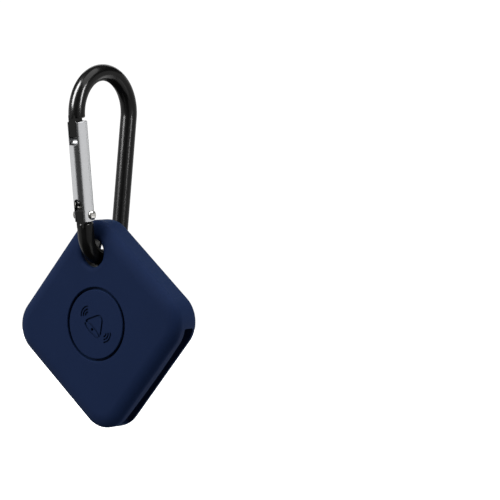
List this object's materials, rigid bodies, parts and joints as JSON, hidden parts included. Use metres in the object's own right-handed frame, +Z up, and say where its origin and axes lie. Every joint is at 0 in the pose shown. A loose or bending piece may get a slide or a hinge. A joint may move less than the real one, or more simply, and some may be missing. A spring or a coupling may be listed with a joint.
{
  "type": "bluetooth tracker tag",
  "caption": "Bluetooth tracker in a rounded-square silicone sleeve with a round press pad, hung by one corner on a pear-shaped carabiner with a sprung gate.",
  "frame": {"origin": "top of the carabiner's eye, where a strap or a ring pulls, on the rod's inner surface", "axes": "+Z up, from the tag towards the carabiner; -Y out of the tag's front face with the press pad; the carabiner lies in the YZ plane with its gate towards -Y; +X towards the sleeve's slot"},
  "size_m": [0.0502, 0.0234, 0.0877],
  "materials": {
    "black_anodised_aluminium": "gloss black anodised",
    "bare_aluminium": "satin drawn tube",
    "plated_steel": "bright nickel plated",
    "navy_silicone": "matte moulded silicone",
    "black_abs": "fine spark-eroded texture",
    "black_rubber": "matte",
    "board_laminate": "solder mask",
    "white_ceramic": "fired",
    "contact_brass": "rolled",
    "chip_resin": "moulded resin",
    "grey_foam": "closed-cell foam"
  },
  "bodies": {
    "carabiner": {"clip_frame": "black_anodised_aluminium", "gate_rivet": "plated_steel"},
    "gate": {"gate_tube": "bare_aluminium", "gate_spring": "plated_steel", "spring_follower": "plated_steel"},
    "tag": {"silicone_sleeve": "navy_silicone", "tracker_front_shell": "black_abs", "tracker_rear_shell": "black_abs", "shell_seal": "black_rubber", "tact_switch_case": "plated_steel", "circuit_board": "board_laminate", "radio_chip": "chip_resin", "radio_crystal": "plated_steel", "chip_antenna": "white_ceramic", "sounder_driver_chip": "chip_resin", "supply_capacitor": "white_ceramic", "tuning_inductor": "white_ceramic", "board_screw_1": "plated_steel", "board_screw_2": "plated_steel", "board_screw_3": "plated_steel", "sounder_foam_ring": "grey_foam", "sounder_plate": "contact_brass", "sounder_ceramic": "white_ceramic", "coin_cell_can": "plated_steel", "coin_cell_gasket": "black_rubber", "coin_cell_cap": "plated_steel", "coin_cell_core": "chip_resin", "battery_negative_contact": "contact_brass", "battery_positive_contact": "contact_brass", "battery_holder_ring": "black_abs"},
    "press_pad": {"sleeve_press_pad": "navy_silicone"},
    "button": {"button_cap": "black_abs"},
    "switch_plunger": {"tact_switch_plunger": "black_abs"},
    "battery_cover": {"battery_door": "black_abs", "door_seal_ring": "black_rubber"}
  },
  "joints": [
    {"name": "gate_open", "type": "hinge", "parent": "carabiner", "child": "gate", "pos_m": [0, -0.00686, -0.03214], "axis": [-1, 0, 0], "range_deg": [0, 25], "stiffness_Nm_per_rad": 0.03, "springref_deg": -14.32},
    {"name": "tag_swing", "type": "hinge", "parent": "carabiner", "child": "tag", "pos_m": [-0.00027, 0, -0.04144], "axis": [0, 1, 0], "range_deg": [-90, 90]},
    {"name": "pad_press", "type": "slide", "parent": "tag", "child": "press_pad", "axis": [0, 1, 0], "range_m": [0, 0.00025], "stiffness_N_per_m": 1500, "springref_m": -0.0005},
    {"name": "button_press", "type": "slide", "parent": "tag", "child": "button", "axis": [0, 1, 0], "range_m": [0, 0.00025]},
    {"name": "switch_press", "type": "slide", "parent": "tag", "child": "switch_plunger", "axis": [0, 1, 0], "range_m": [0, 0.00025]},
    {"name": "door_turn", "type": "hinge", "parent": "tag", "child": "battery_cover", "pos_m": [0.00137, 0, -0.06145], "axis": [0, 1, 0], "range_deg": [0, 20]}
  ],
  "couplings": [
    {"joint": "button_press", "follows": "pad_press", "ratio": 1},
    {"joint": "switch_press", "follows": "pad_press", "ratio": 1}
  ]
}
